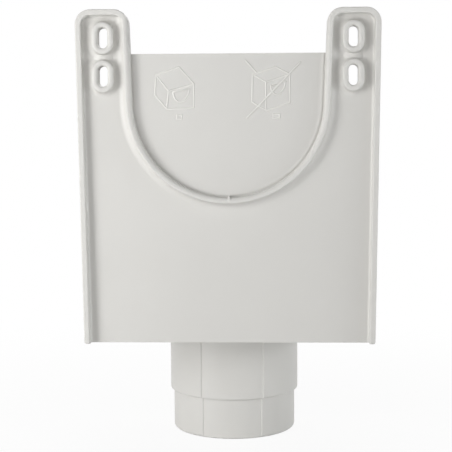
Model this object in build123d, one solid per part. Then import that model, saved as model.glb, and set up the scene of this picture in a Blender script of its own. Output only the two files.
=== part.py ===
from build123d import *
import math
import os

# Rainwater hopper that is screwed to a wall, made as one injection moulding. Sizes are millimetres.
# The origin is on the outlet's axis, at the shoulder that the downpipe stops against.
# +Z is up, the wall is on the -Y side, and the piece is symmetrical about X = 0.
# Heights are measured upwards from the underside of the box, and depths from the wall's surface.

# Outlet
spigot_diameter = 76.0         # enters the downpipe
spigot_length = 25.0
downpipe_wall = 2.0            # the collar stands out by this, flush with the downpipe's outside
collar_length = 41.5           # from the shoulder to the underside of the box
outlet_wall = 2.5
spigot_end_radius = 2.4        # lead-in for the downpipe
shoulder_radius = 0.7
collar_root_radius = 4.0
outlet_entry_radius = 2.0      # rounded edge where the floor turns down into the outlet
slide_mark_angle = 57.0        # rear sector of the outlet that a slide of the mould forms
slide_mark_step = 0.5
slide_mark_slope = 1.0         # run of the step along the skin, for each unit of its depth

# Box
wall_to_axis = 80.0            # from the wall's surface to the outlet's axis
base_width = 165.0
base_depth = 146.0             # from the wall's surface to the front of the underside
box_height = 142.0
side_draft = 0.8               # degrees
front_draft = 1.5
wall = 3.0
floor_thickness = 3.2
corner_radius = 18.0           # front corners, outside
rear_corner_radius = 5.0       # rear corners, inside the box
floor_radius = 6.0             # inside, between the floor and the walls
underside_radius = 1.2
lip_width = 1.5                # thickened edge round the open top
lip_height = 8.0
lip_radius = 0.7
gusset_radius = 12.0           # where the side walls curve up into the ears

# Wall plate
rear_wall = 3.0
rim_height = 5.5               # how far the rims stand out of the plate, towards the wall
rim_width = 3.2
rim_root_radius = 1.4
crest_radius = 0.7
panel_height = 163.5           # top edge of the plate between the ears
ear_width = 30.8               # at the height of the bead's centre, rims included
ear_corner_radius = 8.5
plate_edge_radius = 0.7

# Knock-out panel for an inlet pipe, inside a U-shaped bead
bead_width = 3.4
bead_root_radius = 4.5         # broad cove round the outside of the U
bead_shoulder_radius = 2.4     # towards the tear groove, and on up the ears
bead_centre_height = 136.6     # the U's radius is what the ears leave free at this height
arm_splay = 2.0                # degrees that each arm of the U leans outwards
groove_width = 1.0             # tear groove between the bead and the panel
groove_depth = 5.1
panel_depth = 4.9
panel_lip_height = 0.2         # faint lip round the panel, beside the groove
panel_lip_width = 0.5
cove_radius = 12.0             # the panel's surface turns up to its lip

# Screw slots in the ears
slot_width = 5.5
slot_length = 11.4
slot_spacing = 21.2
upper_slot_height = 172.3
slot_mouth_radius = 1.5        # rounded edge at the wall
boss_margin = 3.4              # boss round each slot
boss_clearance = 3.5           # between the top boss and the ear's rim
boss_root_radius = 3.2         # the coves of two bosses run into each other
boss_crest_radius = 1.5
saddle_height = 1.6            # low ridge from each boss to the next
saddle_radius = 10.0

# Places worked out from the sizes above
wall_y = -wall_to_axis
plate_depth = rim_height + rear_wall
inner_y = wall_y + plate_depth
underside_z = collar_length
floor_z = underside_z + floor_thickness
box_top_z = underside_z + box_height
panel_top_z = underside_z + panel_height
bead_centre_z = underside_z + bead_centre_height
upper_slot_z = underside_z + upper_slot_height
lower_slot_z = upper_slot_z - slot_spacing
ear_top_z = upper_slot_z + slot_length / 2 + boss_margin + boss_clearance + rim_width
collar_diameter = spigot_diameter + 2 * downpipe_wall
boss_reach = slot_width / 2 + boss_margin
collar_bore_r = collar_diameter / 2 - outlet_wall
spigot_bore_r = spigot_diameter / 2 - outlet_wall
spare = 10.0                   # how far cutting tools reach past the piece
tool_top_z = ear_top_z + spare
full_depth = base_depth + box_height * math.tan(math.radians(front_draft)) + spare
tolerance = 0.001
upright_limit = 10.0           # degrees from upright within which an edge counts as upright


def half_width(z):
    """Half the width between the drafted side walls at a height."""
    return base_width / 2 + (z - underside_z) * math.tan(math.radians(side_draft))


def front_y(z):
    """Outer face of the drafted front wall at a height."""
    return wall_y + base_depth + (z - underside_z) * math.tan(math.radians(front_draft))


bead_inner_radius = (half_width(bead_centre_z) - ear_width) * math.cos(math.radians(arm_splay))


def arm_x(radius, z):
    """Half the gap between the straight arms of a U of some radius, at a height."""
    splay = math.radians(arm_splay)
    tangent_z = bead_centre_z - radius * math.sin(splay)
    return radius * math.cos(splay) + (z - tangent_z) * math.tan(splay)


def slot_places():
    """Centres of the screw slots, midway between the rims of each ear."""
    middle_z = (upper_slot_z + lower_slot_z) / 2
    offset_x = (arm_x(bead_inner_radius + bead_width, middle_z) + half_width(middle_z) - rim_width) / 2
    return [(side * offset_x, z) for side in (-1, 1) for z in (lower_slot_z, upper_slot_z)]


def slot_distance(edge):
    """Distance from the middle of an edge to the centre line of the nearest slot."""
    middle = edge.center()
    straight = (slot_length - slot_width) / 2
    return min(math.hypot(middle.X - x, max(abs(middle.Z - z) - straight, 0)) for x, z in slot_places())


def between_depths(sketch, near, far):
    """Prism of a sketch of the wall side, X right and Z up, between two depths."""
    far_plane = Plane(origin=(0, wall_y + far, 0), x_dir=(1, 0, 0), z_dir=(0, -1, 0))
    return extrude(far_plane * sketch, amount=far - near)


def across(profile):
    """Prism of a side profile, Y right and Z up, wider than the piece."""
    return extrude(Plane.YZ * profile, amount=base_width, both=True)


def edges_at_depth(solid, depth):
    """Edges that lie flat in one plane parallel to the wall."""
    y = wall_y + depth

    def lies_flat(edge):
        box = edge.bounding_box()
        return abs(box.min.Y - y) < tolerance and abs(box.max.Y - y) < tolerance

    return solid.edges().filter_by(lies_flat)


def is_upright(edge):
    """Whether an edge runs up a drafted corner."""
    return abs((edge @ 1 - edge @ 0).normalized().Z) > math.cos(math.radians(upright_limit))


def plate_sketch(inset, bottom, top):
    """Outline between the drafted sides, drawn in by an inset."""
    low = half_width(bottom) - inset
    high = half_width(top) - inset
    return make_face(Polyline((-low, bottom), (low, bottom), (high, top), (-high, top), close=True))


def u_sketch(radius):
    """Inside of a U: a round bottom, and arms tangent to it that lean outwards."""
    splay = math.radians(arm_splay)
    side = radius * math.cos(splay)
    side_z = bead_centre_z - radius * math.sin(splay)
    top = arm_x(radius, tool_top_z)
    return make_face([
        Line((-top, tool_top_z), (-side, side_z)),
        ThreePointArc((-side, side_z), (0, bead_centre_z - radius), (side, side_z)),
        Line((side, side_z), (top, tool_top_z)),
        Line((top, tool_top_z), (-top, tool_top_z)),
    ])


def gap_sketch(radius, bottom):
    """Gap between the arms of a U above some height."""
    low = arm_x(radius, bottom)
    high = arm_x(radius, tool_top_z)
    corners = [(-low, bottom), (low, bottom), (high, tool_top_z), (-high, tool_top_z)]
    return make_face(Polyline(*corners, close=True))


def wall_outline():
    """Wall plate with its ears."""
    plate = plate_sketch(0, underside_z, ear_top_z) - gap_sketch(bead_inner_radius, panel_top_z)
    return fillet(plate.vertices().group_by(Axis.Y)[-1], ear_corner_radius)


def outer_form():
    """Outside of box and plate: the wall side's outline crossed with the side profile."""
    start = (inner_y + gusset_radius, box_top_z)
    end = (inner_y, box_top_z + gusset_radius)
    profile = make_face([
        Polyline(end, (inner_y, tool_top_z), (wall_y, tool_top_z), (wall_y, underside_z),
                 (front_y(underside_z), underside_z), (front_y(box_top_z), box_top_z), start),
        RadiusArc(start, end, gusset_radius),
    ])
    form = between_depths(wall_outline(), 0, full_depth) & across(profile)
    form = fillet(form.edges().filter_by(is_upright).sort_by(Axis.Y)[-2:], corner_radius)
    around_base = form.edges().group_by(Axis.Z)[0]
    around_base = around_base.filter_by(lambda edge: edge.center().Y > wall_y + tolerance)
    form = fillet(around_base, underside_radius)
    plate_edges = edges_at_depth(form, plate_depth).filter_by(lambda edge: edge.center().Z > box_top_z)
    return fillet(plate_edges, plate_edge_radius)


def top_lip():
    """Thickened edge round the front and sides of the open top."""
    side = half_width(box_top_z) + lip_width
    back = inner_y + gusset_radius - lip_width
    front = front_y(box_top_z) + lip_width
    corners = [(-side, back), (side, back), (side, front), (-side, front)]
    outline = make_face(Polyline(*corners, close=True))
    outline = fillet(outline.vertices().group_by(Axis.Y)[-1], corner_radius + lip_width)
    outline = fillet(outline.vertices().group_by(Axis.Y)[0], lip_width)
    edge = extrude(Pos(0, 0, box_top_z - lip_height) * outline, amount=lip_height)
    levels = edge.edges().group_by(Axis.Z)
    return fillet(levels[0] + levels[-1], lip_radius)


def cavity():
    """Space inside the box, open at the top."""
    low_front = (front_y(floor_z) - wall, floor_z)
    high_front = (front_y(tool_top_z) - wall, tool_top_z)
    corners = [(inner_y, floor_z), low_front, high_front, (inner_y, tool_top_z)]
    outline = plate_sketch(wall, floor_z, tool_top_z)
    profile = make_face(Polyline(*corners, close=True))
    space = between_depths(outline, plate_depth, full_depth) & across(profile)
    space = fillet(space.edges().filter_by(is_upright).sort_by(Axis.Y)[-2:], corner_radius - wall)
    space = fillet(space.edges().filter_by(is_upright).sort_by(Axis.Y)[:2], rear_corner_radius)
    return fillet(space.edges().group_by(Axis.Z)[0], floor_radius)


def boss(x, z):
    """Plate with the boss round one screw slot, standing out to the wall from a coved root."""
    outline = SlotOverall(slot_length + 2 * boss_margin, slot_width + 2 * boss_margin, rotation=90)
    plate = between_depths(plate_sketch(0, underside_z, ear_top_z), rim_height, plate_depth)
    standing = plate + between_depths(Pos(x, z) * outline, 0, rim_height)

    def is_boss_edge(edge):
        return slot_distance(edge) < boss_reach + tolerance

    standing = fillet(edges_at_depth(standing, rim_height).filter_by(is_boss_edge), boss_root_radius)
    return fillet(edges_at_depth(standing, 0), boss_crest_radius)


def around_bead():
    """Space outside the U of the bead, coved at its foot."""
    sketch = plate_sketch(-spare, underside_z - spare, ear_top_z) - u_sketch(bead_inner_radius + bead_width)
    space = between_depths(sketch, -spare, rim_height)
    feet = edges_at_depth(space, rim_height).sort_by_distance((0, wall_y + rim_height, bead_centre_z))
    return fillet(feet[:3], bead_root_radius)


def saddle(x):
    """Low ridge between the two bosses of an ear."""
    ridge = Cylinder(saddle_radius, slot_spacing)
    axis_y = wall_y + rim_height - saddle_height + saddle_radius
    return Pos(x, axis_y, (upper_slot_z + lower_slot_z) / 2) * ridge


def bead_shoulder():
    """Space over the shoulder of the U, which rounds down to the tear groove and on up the ears."""
    outside = plate_sketch(-spare, underside_z - spare, ear_top_z + spare / 2) - u_sketch(bead_inner_radius)
    block = between_depths(outside, 0, plate_depth)
    shoulders = edges_at_depth(block, 0).sort_by_distance((0, wall_y, bead_centre_z))[:3]
    block = fillet(shoulders, bead_shoulder_radius)
    over = u_sketch(bead_inner_radius + bead_shoulder_radius)
    return between_depths(over, -spare, bead_shoulder_radius) - block


def wall_recess():
    """Space between the side rims, the ears' rims and the bead, with the bosses left standing in it."""
    sketch = plate_sketch(rim_width, underside_z - spare, ear_top_z - rim_width)
    sketch = sketch - u_sketch(bead_inner_radius + bead_width)
    sketch = fillet(sketch.vertices().group_by(Axis.Y)[-1], ear_corner_radius - rim_width)
    space = between_depths(sketch, -spare, rim_height)
    space = fillet(edges_at_depth(space, rim_height), rim_root_radius)
    space = space & around_bead()
    for x, z in slot_places():
        space = space - boss(x, z) - saddle(x)
    return space


def knock_out_recess():
    """Space in front of the knock-out panel: its dish, the faint lip round it and the tear groove."""
    groove_inner = bead_inner_radius - groove_width
    dish_radius = groove_inner - panel_lip_width
    cove_run = math.sqrt(cove_radius**2 - (cove_radius - panel_lip_height)**2)
    dish = between_depths(u_sketch(dish_radius + cove_radius - cove_run), -cove_radius, panel_depth)
    dish = fillet(edges_at_depth(dish, panel_depth), cove_radius)
    dish = dish & between_depths(u_sketch(dish_radius), -spare, panel_depth)
    mouth = between_depths(u_sketch(bead_inner_radius), -spare, panel_depth - panel_lip_height)
    groove = between_depths(u_sketch(bead_inner_radius) - u_sketch(groove_inner), -spare, groove_depth)
    return mouth + groove + dish


def screw_slots():
    """Upright slots through the bosses and the ears."""
    slots = [Pos(x, z) * SlotOverall(slot_length, slot_width, rotation=90) for x, z in slot_places()]
    return between_depths(Sketch() + slots, -spare, plate_depth + spare)


def outlet():
    """Stepped tube below the box."""
    on_base = (Align.CENTER, Align.CENTER, Align.MIN)
    collar = Cylinder(collar_diameter / 2, collar_length, align=on_base)
    collar = fillet(collar.edges().group_by(Axis.Z)[0], shoulder_radius)
    tube = Cylinder(spigot_diameter / 2, spigot_length + collar_length, align=on_base)
    spigot = Pos(0, 0, -spigot_length) * tube
    return collar + fillet(spigot.edges().group_by(Axis.Z)[0], spigot_end_radius)


def outlet_bore():
    """Way through the floor and the tube, narrower in the spigot, with a rounded edge at the floor."""
    taper = collar_bore_r - spigot_bore_r
    entry = outlet_entry_radius
    mouth_r = collar_bore_r + entry
    bottom_z = -spigot_length - spare
    edge_start = (collar_bore_r, floor_z - entry)
    edge_end = (mouth_r, floor_z)
    profile = make_face([
        Polyline(edge_end, (mouth_r, floor_z + spare), (0, floor_z + spare), (0, bottom_z),
                 (spigot_bore_r, bottom_z), (spigot_bore_r, 0), (collar_bore_r, taper), edge_start),
        RadiusArc(edge_start, edge_end, entry),
    ])
    return revolve(Plane.XZ * profile, Axis.Z)


def slide_marks():
    """Thin skin that the mould's slide takes off the rear of the outlet, leaving a line at each side."""
    half_angle = math.radians(slide_mark_angle / 2)
    side_x = math.sin(half_angle) + slide_mark_slope * math.cos(half_angle)
    side_y = slide_mark_slope * math.sin(half_angle) - math.cos(half_angle)

    def skin(radius):
        edge_x = radius * math.sin(half_angle)
        edge_y = -radius * math.cos(half_angle)
        inward = edge_x / side_x
        far_x = edge_x + radius * side_x
        far_y = edge_y + radius * side_y
        apex = (0, edge_y - inward * side_y)
        outer_y = -collar_diameter - spare
        corners = [apex, (far_x, far_y), (far_x, outer_y), (-far_x, outer_y), (-far_x, far_y)]
        return make_face(Polyline(*corners, close=True)) - Circle(radius - slide_mark_step)

    upper = extrude(skin(collar_diameter / 2), amount=collar_length - collar_root_radius)
    lower = extrude(skin(spigot_diameter / 2), amount=-spigot_length - spare)
    return upper + lower


def hopper_body():
    """The whole moulding."""
    body = outer_form() + outlet() - wall_recess() - knock_out_recess()

    def is_crest(edge):
        return edge.center().Z > underside_z + tolerance and slot_distance(edge) > boss_reach + tolerance

    body = fillet(edges_at_depth(body, 0).filter_by(is_crest), crest_radius) - bead_shoulder()

    def is_collar_root(edge):
        at_underside = abs(edge.center().Z - underside_z) < tolerance
        return at_underside and abs(edge.radius - collar_diameter / 2) < tolerance

    body = fillet(body.edges().filter_by(GeomType.CIRCLE).filter_by(is_collar_root), collar_root_radius)
    body = body + top_lip() - cavity() - outlet_bore() - slide_marks() - screw_slots()
    mouths = edges_at_depth(body, 0).filter_by(lambda edge: slot_distance(edge) < slot_width / 2 + tolerance)
    return fillet(mouths, slot_mouth_radius)


os.makedirs("parts", exist_ok=True)
body = hopper_body()
export_step(body, "parts/hopper_body.step")
print("hopper_body", len(body.solids()), "solid", round(body.volume / 1000, 1), "cm3", body.bounding_box())
print("slot centres", [(round(x, 3), round(z, 3)) for x, z in slot_places()])
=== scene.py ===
import math

import bmesh
import bpy
from mathutils import Matrix, Quaternion, Vector


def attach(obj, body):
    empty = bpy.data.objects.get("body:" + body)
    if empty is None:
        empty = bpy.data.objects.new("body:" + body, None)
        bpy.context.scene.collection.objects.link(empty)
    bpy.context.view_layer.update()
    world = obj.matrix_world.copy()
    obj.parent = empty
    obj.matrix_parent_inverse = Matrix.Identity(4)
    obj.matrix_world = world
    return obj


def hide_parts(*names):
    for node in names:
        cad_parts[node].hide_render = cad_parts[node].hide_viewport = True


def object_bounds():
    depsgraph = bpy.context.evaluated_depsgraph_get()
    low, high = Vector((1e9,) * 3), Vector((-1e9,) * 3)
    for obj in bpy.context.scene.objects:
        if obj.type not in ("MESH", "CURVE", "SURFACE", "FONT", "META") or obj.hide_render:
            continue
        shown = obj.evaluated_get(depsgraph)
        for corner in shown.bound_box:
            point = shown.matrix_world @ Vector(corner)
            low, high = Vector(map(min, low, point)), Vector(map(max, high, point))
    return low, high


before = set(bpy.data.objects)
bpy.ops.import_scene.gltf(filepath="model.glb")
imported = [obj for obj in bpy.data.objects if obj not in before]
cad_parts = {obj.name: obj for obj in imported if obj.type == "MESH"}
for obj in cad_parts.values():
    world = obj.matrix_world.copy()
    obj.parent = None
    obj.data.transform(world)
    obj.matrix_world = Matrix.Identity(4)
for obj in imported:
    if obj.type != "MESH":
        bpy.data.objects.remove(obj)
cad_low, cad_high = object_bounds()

# The hopper itself, one injection moulding in light warm grey plastic with a satin skin.
# The skin takes a fine even grain from the mould, and its tone drifts a little where the melt flowed.
# The recess of its wall side gets shallower towards the ears, so a copy of the solid has its floor leaned.
mm = 0.001
grey_pale = (0.665, 0.655, 0.628, 1.0)
grey_deep = (0.635, 0.625, 0.598, 1.0)

hopper_plastic = bpy.data.materials.new("hopper_plastic_skin")
hopper_plastic.use_nodes = True
nodes = hopper_plastic.node_tree.nodes
links = hopper_plastic.node_tree.links
skin = nodes["Principled BSDF"]
skin.inputs["IOR"].default_value = 1.49
skin.inputs["Specular IOR Level"].default_value = 0.42
place = nodes.new("ShaderNodeTexCoord")

flow = nodes.new("ShaderNodeTexNoise")
flow.inputs["Scale"].default_value = 14.0
flow.inputs["Detail"].default_value = 3.0
flow.inputs["Roughness"].default_value = 0.55
links.new(place.outputs["Object"], flow.inputs["Vector"])
tone = nodes.new("ShaderNodeMix")
tone.name = "tone"
tone.data_type = "RGBA"
tone.inputs["A"].default_value = grey_deep
tone.inputs["B"].default_value = grey_pale
links.new(flow.outputs["Fac"], tone.inputs["Factor"])
links.new(tone.outputs["Result"], skin.inputs["Base Color"])
gloss = nodes.new("ShaderNodeMapRange")
gloss.inputs["To Min"].default_value = 0.40
gloss.inputs["To Max"].default_value = 0.50
links.new(flow.outputs["Fac"], gloss.inputs["Value"])
links.new(gloss.outputs["Result"], skin.inputs["Roughness"])

grain = nodes.new("ShaderNodeTexNoise")
grain.inputs["Scale"].default_value = 2600.0
grain.inputs["Detail"].default_value = 2.0
links.new(place.outputs["Object"], grain.inputs["Vector"])
relief = nodes.new("ShaderNodeBump")
relief.inputs["Strength"].default_value = 0.06
relief.inputs["Distance"].default_value = 0.0002
links.new(grain.outputs["Fac"], relief.inputs["Height"])
links.new(relief.outputs["Normal"], skin.inputs["Normal"])

recess_depth = 5.5 * mm
recess_slack = 0.1 * mm
recess_foot = 41.5 * mm
depth_share_at_top = 0.76
bead_radius = 55.3 * mm
bead_centre_height = 178.1 * mm
arm_splay = math.radians(2.0)
merge_distance = 0.0005 * mm


def within_bead(point):
    """Whether a point of the wall side lies inside the crest of the U-shaped bead."""
    rise = point.z - bead_centre_height
    if rise < 0.0:
        return math.hypot(point.x, rise) < bead_radius
    return abs(point.x) < bead_radius + rise * math.tan(arm_splay)


def lean_recess(shape):
    """Brings the recess's floor nearer to the wall, from nothing at its foot to most at the ears' top."""
    for vert in shape.verts:
        depth = vert.co.y - cad_low.y
        rise = (vert.co.z - recess_foot) / (cad_high.z - recess_foot)
        if depth < recess_depth + recess_slack and rise > 0.0 and not within_bead(vert.co):
            vert.co.y = cad_low.y + depth * (1.0 + rise * (depth_share_at_top - 1.0))


# The solid's normals are carried through the merge, so that its round surfaces stay smooth.
hopper_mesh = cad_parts["hopper_body"].data.copy()
hopper_mesh.name = "hopper_shell"
corner_parts = [part for corner in hopper_mesh.corner_normals for part in corner.vector]
hopper_mesh.attributes.new("facing", "FLOAT_VECTOR", "CORNER").data.foreach_set("vector", corner_parts)
hopper_shape = bmesh.new()
hopper_shape.from_mesh(hopper_mesh)
bmesh.ops.remove_doubles(hopper_shape, verts=hopper_shape.verts, dist=merge_distance)
lean_recess(hopper_shape)
hopper_shape.to_mesh(hopper_mesh)
hopper_shape.free()
facing = hopper_mesh.attributes["facing"]
hopper_mesh.normals_split_custom_set([corner.vector for corner in facing.data])
hopper_mesh.attributes.remove(hopper_mesh.attributes["facing"])
hopper_mesh.materials.clear()
hopper_mesh.materials.append(hopper_plastic)
hopper = bpy.data.objects.new("hopper_shell", hopper_mesh)
bpy.context.scene.collection.objects.link(hopper)
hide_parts("hopper_body")
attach(hopper, "root")

# Two signs on the knock-out panel: a box drawn in fine lines, and the same box crossed out.
# They are cut into the mould, so their lines stand out of the panel in the same plastic, with a little paler
# tone painted on them as a highlight.
# Points of the drawings lie flat on the panel, X to the right and Z up, in millimetres.
panel_depth = 4.9 * mm
panel_y = cad_low.y + panel_depth
line_width = 0.95 * mm
line_height = 0.48 * mm
line_round = 0.15 * mm
ridge_share = 0.9
crumb_size = 0.01 * mm
disc_segments = 32
cross_width = 1.0 * mm
cross_height = 0.45 * mm
tail_width = 0.8 * mm
tail_height = 0.38 * mm
stroke_round_share = 0.6
sharp_angle = math.radians(50.0)
# Paler tones for the sign lines: a painted highlight that makes the raised lines read lighter than the
# panel.
highlight_pale = (0.745, 0.735, 0.705, 1.0)
highlight_deep = (0.705, 0.695, 0.665, 1.0)

# The lines' material is the hopper's skin with the paler tones, a painted highlight on the raised lines.
highlight_line_plastic = hopper_plastic.copy()
highlight_line_plastic.name = "sign_line_painted_highlight"
highlight_line_tone = highlight_line_plastic.node_tree.nodes["tone"]
highlight_line_tone.inputs["A"].default_value = highlight_deep
highlight_line_tone.inputs["B"].default_value = highlight_pale


def draw_faces(shape, *outlines):
    """Flat faces on the panel that share the corners they have in common."""
    corners = {}
    for outline in outlines:
        for point in outline:
            if point not in corners:
                corners[point] = shape.verts.new((point[0] * mm, panel_y, point[1] * mm))
        shape.faces.new([corners[point] for point in outline])


def draw_box(shape, left, rear, right, near, left_foot, near_foot, right_foot):
    """The lid and the two nearer sides of a box, from the lid's corners and those below them."""
    lid = (left, rear, right, near)
    left_side = (left, near, near_foot, left_foot)
    right_side = (near, right, right_foot, near_foot)
    draw_faces(shape, lid, left_side, right_side)


def draw_tag(shape, left, right, low, high):
    """The small oblong below a box."""
    draw_faces(shape, ((left, high), (right, high), (right, low), (left, low)))


def draw_half_round(shape, centre, half_width, rise, drop):
    """Half a disc that hangs from a slanting line, drawn on the panel."""
    slant = Matrix((
        (half_width * mm, 0.0, 0.0, centre[0] * mm),
        (0.0, 0.0, 1.0, panel_y),
        (rise * mm, drop * mm, 0.0, centre[1] * mm),
        (0.0, 0.0, 0.0, 1.0),
    ))
    disc = bmesh.ops.create_circle(shape, cap_ends=True, segments=disc_segments, radius=1.0, matrix=slant)
    face = disc["verts"][0].link_faces[0]
    bmesh.ops.bisect_plane(
        shape,
        geom=[*disc["verts"], *face.edges, face],
        plane_co=(centre[0] * mm, panel_y, centre[1] * mm),
        plane_no=(-rise, 0.0, half_width),
        clear_outer=True,
    )


def round_edges(shape, edges, radius, segments):
    """Rounds edges of a shape, as the cutter leaves them in the mould."""
    bmesh.ops.bevel(
        shape,
        geom=edges,
        offset=radius,
        offset_type="OFFSET",
        segments=segments,
        profile=0.5,
        affect="EDGES",
        material=-1,
    )


def raise_lines(shape):
    """Every edge of the drawn faces becomes a ridge with a rounded top, half sunk in the panel."""
    bmesh.ops.wireframe(
        shape,
        faces=shape.faces[:],
        thickness=line_width,
        offset=0.0,
        use_replace=True,
        use_boundary=True,
        use_even_offset=True,
    )
    flatten = (1.0, 2.0 * line_height / line_width, 1.0)
    about_panel = Matrix.Translation((0.0, -panel_y, 0.0))
    bmesh.ops.scale(shape, verts=shape.verts, vec=flatten, space=about_panel)
    ridge_y = panel_y - ridge_share * line_height
    ridges = [edge for edge in shape.edges if all(vert.co.y < ridge_y for vert in edge.verts)]
    round_edges(shape, ridges, line_round, segments=2)
    bmesh.ops.dissolve_degenerate(shape, dist=crumb_size, edges=shape.edges)
    bmesh.ops.recalc_face_normals(shape, faces=shape.faces)


def draw_stroke(shape, start, end, width, height):
    """A bar with rounded edges from one point of the panel to another, half sunk in it."""
    run = Vector((end[0] - start[0], 0.0, end[1] - start[1])) * mm
    middle = Vector(((start[0] + end[0]) / 2 * mm, panel_y, (start[1] + end[1]) / 2 * mm))
    turn = Vector((1.0, 0.0, 0.0)).rotation_difference(run).to_matrix().to_4x4()
    size = Matrix.Diagonal((run.length, 2.0 * height, width, 1.0))
    bar = bmesh.ops.create_cube(shape, size=1.0, matrix=Matrix.Translation(middle) @ turn @ size)
    edges = {edge for vert in bar["verts"] for edge in vert.link_edges}
    round_edges(shape, list(edges), stroke_round_share * height, segments=3)


def moulded_mark(shape, name, plastic):
    """A finished mark in its plastic, fixed to the hopper."""
    mesh = bpy.data.meshes.new(name)
    shape.to_mesh(mesh)
    shape.free()
    mark = bpy.data.objects.new(name, mesh)
    bpy.context.scene.collection.objects.link(mark)
    mesh.materials.append(plastic)
    for face in mesh.polygons:
        face.use_smooth = True
    mesh.set_sharp_from_angle(angle=sharp_angle)
    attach(mark, "root")


box_shape = bmesh.new()
draw_box(
    box_shape,
    left=(-40.4, 193.3),
    rear=(-27.4, 197.7),
    right=(-19.1, 188.2),
    near=(-33.4, 184.4),
    left_foot=(-41.0, 182.2),
    near_foot=(-34.4, 174.3),
    right_foot=(-19.2, 174.8),
)
draw_tag(box_shape, left=-28.8, right=-26.0, low=168.7, high=170.9)
draw_half_round(box_shape, centre=(-26.2, 184.3), half_width=4.3, rise=1.1, drop=6.0)
raise_lines(box_shape)
moulded_mark(box_shape, "box_sign", highlight_line_plastic)

crossed_shape = bmesh.new()
draw_box(
    crossed_shape,
    left=(13.8, 193.3),
    rear=(26.6, 197.4),
    right=(34.6, 193.2),
    near=(21.2, 189.0),
    left_foot=(13.4, 178.0),
    near_foot=(21.2, 173.1),
    right_foot=(34.6, 177.5),
)
draw_tag(crossed_shape, left=25.2, right=28.8, low=168.9, high=171.1)
draw_half_round(crossed_shape, centre=(28.0, 188.2), half_width=4.0, rise=1.2, drop=6.0)
raise_lines(crossed_shape)
draw_stroke(crossed_shape, start=(9.9, 168.5), end=(40.5, 200.0), width=cross_width, height=cross_height)
draw_stroke(crossed_shape, start=(9.5, 201.3), end=(16.2, 194.0), width=tail_width, height=tail_height)
moulded_mark(crossed_shape, "crossed_box_sign", highlight_line_plastic)

# A small nib at the lowest point of the U, where the plastic entered the mould.
# It is a short web of the same plastic across the bead and the tear groove, level with the bead's crest.
nib_aside = 0.35 * mm
nib_width = 1.3 * mm
nib_low = 121.2 * mm
nib_high = 125.4 * mm
nib_round = 0.55 * mm
nib_centre = Vector((nib_aside, (cad_low.y + panel_y) / 2, (nib_low + nib_high) / 2))
nib_size = Matrix.Diagonal((nib_width, panel_y - cad_low.y, nib_high - nib_low, 1.0))
nib_shape = bmesh.new()
bmesh.ops.create_cube(nib_shape, size=1.0, matrix=Matrix.Translation(nib_centre) @ nib_size)
round_edges(nib_shape, nib_shape.edges[:], nib_round, segments=5)
moulded_mark(nib_shape, "gate_nib", hopper_plastic)

# The camera stands behind the piece, on the side that faces the wall, a little above its middle.
# It looks slightly down and to the left with a long lens, and leans by a third of a degree.
image_side = 452
focal_pixels = 1200.0
sensor_side = 36.0
nearest_seen = 0.01
camera_place = Vector((0.0260, -0.7500, 0.1679))
camera_aim = Vector((-0.0014, -0.0800, 0.1087))
camera_roll = -0.0059

camera_data = bpy.data.cameras.new("camera")
camera_data.sensor_width = sensor_side
camera_data.lens = focal_pixels / image_side * sensor_side
camera_data.clip_start = nearest_seen
camera = bpy.data.objects.new("camera", camera_data)
bpy.context.scene.collection.objects.link(camera)
camera.location = camera_place
looking = (camera_aim - camera_place).to_track_quat("-Z", "Y")
camera.rotation_euler = (looking @ Quaternion((0.0, 0.0, 1.0), camera_roll)).to_euler()
bpy.context.scene.camera = camera
bpy.context.scene.view_settings.view_transform = "Standard"

# The floor is a wide pale sheet under the outlet, lit like the rest of the studio.
# Seen directly it is almost white, a little less so under the piece, where a faint shadow shows.
floor_half = 6.0
floor_grey = (0.8, 0.8, 0.8, 1.0)
shadow_reach = 0.45
white_near = 0.92
floor_shape = bmesh.new()
bmesh.ops.create_grid(floor_shape, x_segments=1, y_segments=1, size=floor_half)
bmesh.ops.translate(floor_shape, verts=floor_shape.verts, vec=(0.0, 0.0, cad_low.z))
floor_mesh = bpy.data.meshes.new("floor")
floor_shape.to_mesh(floor_mesh)
floor_shape.free()
floor = bpy.data.objects.new("floor", floor_mesh)
bpy.context.scene.collection.objects.link(floor)

floor_paint = bpy.data.materials.new("floor_paint")
floor_paint.use_nodes = True
nodes = floor_paint.node_tree.nodes
links = floor_paint.node_tree.links
sheet = nodes["Principled BSDF"]
sheet.inputs["Base Color"].default_value = floor_grey
sheet.inputs["Roughness"].default_value = 0.9
white = nodes.new("ShaderNodeEmission")
white.inputs["Strength"].default_value = 1.0
ground = nodes.new("ShaderNodeTexCoord")
from_middle = nodes.new("ShaderNodeVectorMath")
from_middle.operation = "LENGTH"
links.new(ground.outputs["Object"], from_middle.inputs[0])
fade = nodes.new("ShaderNodeMapRange")
fade.interpolation_type = "SMOOTHSTEP"
fade.inputs["From Max"].default_value = shadow_reach
fade.inputs["To Min"].default_value = white_near
links.new(from_middle.outputs["Value"], fade.inputs["Value"])


def seen_rays(nodes, links):
    """One for rays from the camera and those that gloss or glass sends on, and nought for the rest."""
    ray = nodes.new("ShaderNodeLightPath")
    with_gloss = nodes.new("ShaderNodeMath")
    with_gloss.operation = "MAXIMUM"
    links.new(ray.outputs["Is Camera Ray"], with_gloss.inputs[0])
    links.new(ray.outputs["Is Glossy Ray"], with_gloss.inputs[1])
    with_glass = nodes.new("ShaderNodeMath")
    with_glass.operation = "MAXIMUM"
    links.new(with_gloss.outputs[0], with_glass.inputs[0])
    links.new(ray.outputs["Is Transmission Ray"], with_glass.inputs[1])
    return with_glass.outputs[0]


share = nodes.new("ShaderNodeMath")
share.operation = "MULTIPLY"
links.new(seen_rays(nodes, links), share.inputs[0])
links.new(fade.outputs["Result"], share.inputs[1])
blend = nodes.new("ShaderNodeMixShader")
links.new(share.outputs[0], blend.inputs[0])
links.new(sheet.outputs["BSDF"], blend.inputs[1])
links.new(white.outputs["Emission"], blend.inputs[2])
links.new(blend.outputs["Shader"], nodes["Material Output"].inputs["Surface"])
floor_mesh.materials.append(floor_paint)

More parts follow.
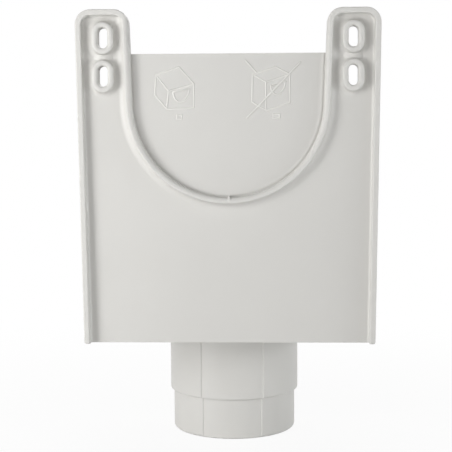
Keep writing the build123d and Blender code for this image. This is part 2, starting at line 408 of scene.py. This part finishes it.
# The room is a plain studio that looks white past the floor and in the plastic's gloss.
# What it adds to the lamps is an even soft light from all sides.
room_light = 0.115
room_white = (1.0, 1.0, 1.0, 1.0)
room = bpy.data.worlds.new("room")
room.use_nodes = True
bpy.context.scene.world = room
nodes = room.node_tree.nodes
links = room.node_tree.links
backdrop = nodes["Background"]
backdrop.inputs["Color"].default_value = room_white
level = nodes.new("ShaderNodeMapRange")
level.inputs["To Min"].default_value = room_light
level.inputs["To Max"].default_value = 1.0
links.new(seen_rays(nodes, links), level.inputs["Value"])
links.new(level.outputs["Result"], backdrop.inputs["Strength"])

# Soft lamps stand round the piece, all turned to the middle of the wall side. At the left are a tall key,
# a low one under it and a small one for the rims, at the right two slightly cooler ones, and one is above
# the camera. A wide one on the far side lights the box's front and inside, which the camera doesn't see.
lamp_target = Vector((0.0, -0.07, 0.12))
plain_white = (1.0, 1.0, 1.0)
cool_white = (0.965, 0.985, 1.0)


def soft_lamp(name, azimuth, height, distance, width, tall, watts, colour=plain_white):
    """A flat lamp at an azimuth from the wall side's own direction, at a height above the frame's origin."""
    lamp_data = bpy.data.lights.new(name, "AREA")
    lamp_data.shape = "RECTANGLE"
    lamp_data.size = width
    lamp_data.size_y = tall
    lamp_data.energy = watts
    lamp_data.color = colour
    lamp = bpy.data.objects.new(name, lamp_data)
    bpy.context.scene.collection.objects.link(lamp)
    turn = math.radians(azimuth)
    aside = distance * Vector((math.sin(turn), -math.cos(turn), 0.0))
    lamp.location = Vector((lamp_target.x + aside.x, lamp_target.y + aside.y, height))
    lamp.rotation_euler = (lamp_target - lamp.location).to_track_quat("-Z", "Y").to_euler()


soft_lamp("key_lamp", -50.0, height=0.280, distance=0.75, width=0.30, tall=0.60, watts=1.55)
soft_lamp("low_key_lamp", -50.0, height=0.075, distance=0.75, width=0.30, tall=0.19, watts=1.54)
soft_lamp("rim_lamp", -60.0, height=0.200, distance=0.50, width=0.25, tall=0.25, watts=0.51)
soft_lamp(
    "side_lamp", 78.0, height=0.140, distance=0.90, width=0.30, tall=0.30, watts=2.26, colour=cool_white
)
soft_lamp(
    "fill_lamp", 57.0, height=0.140, distance=0.90, width=0.30, tall=0.30, watts=0.86, colour=cool_white
)
soft_lamp("top_lamp", 0.0, height=0.550, distance=1.00, width=0.40, tall=0.40, watts=1.82)
soft_lamp("front_lamp", 180.0, height=0.800, distance=1.00, width=0.90, tall=0.50, watts=7.50)
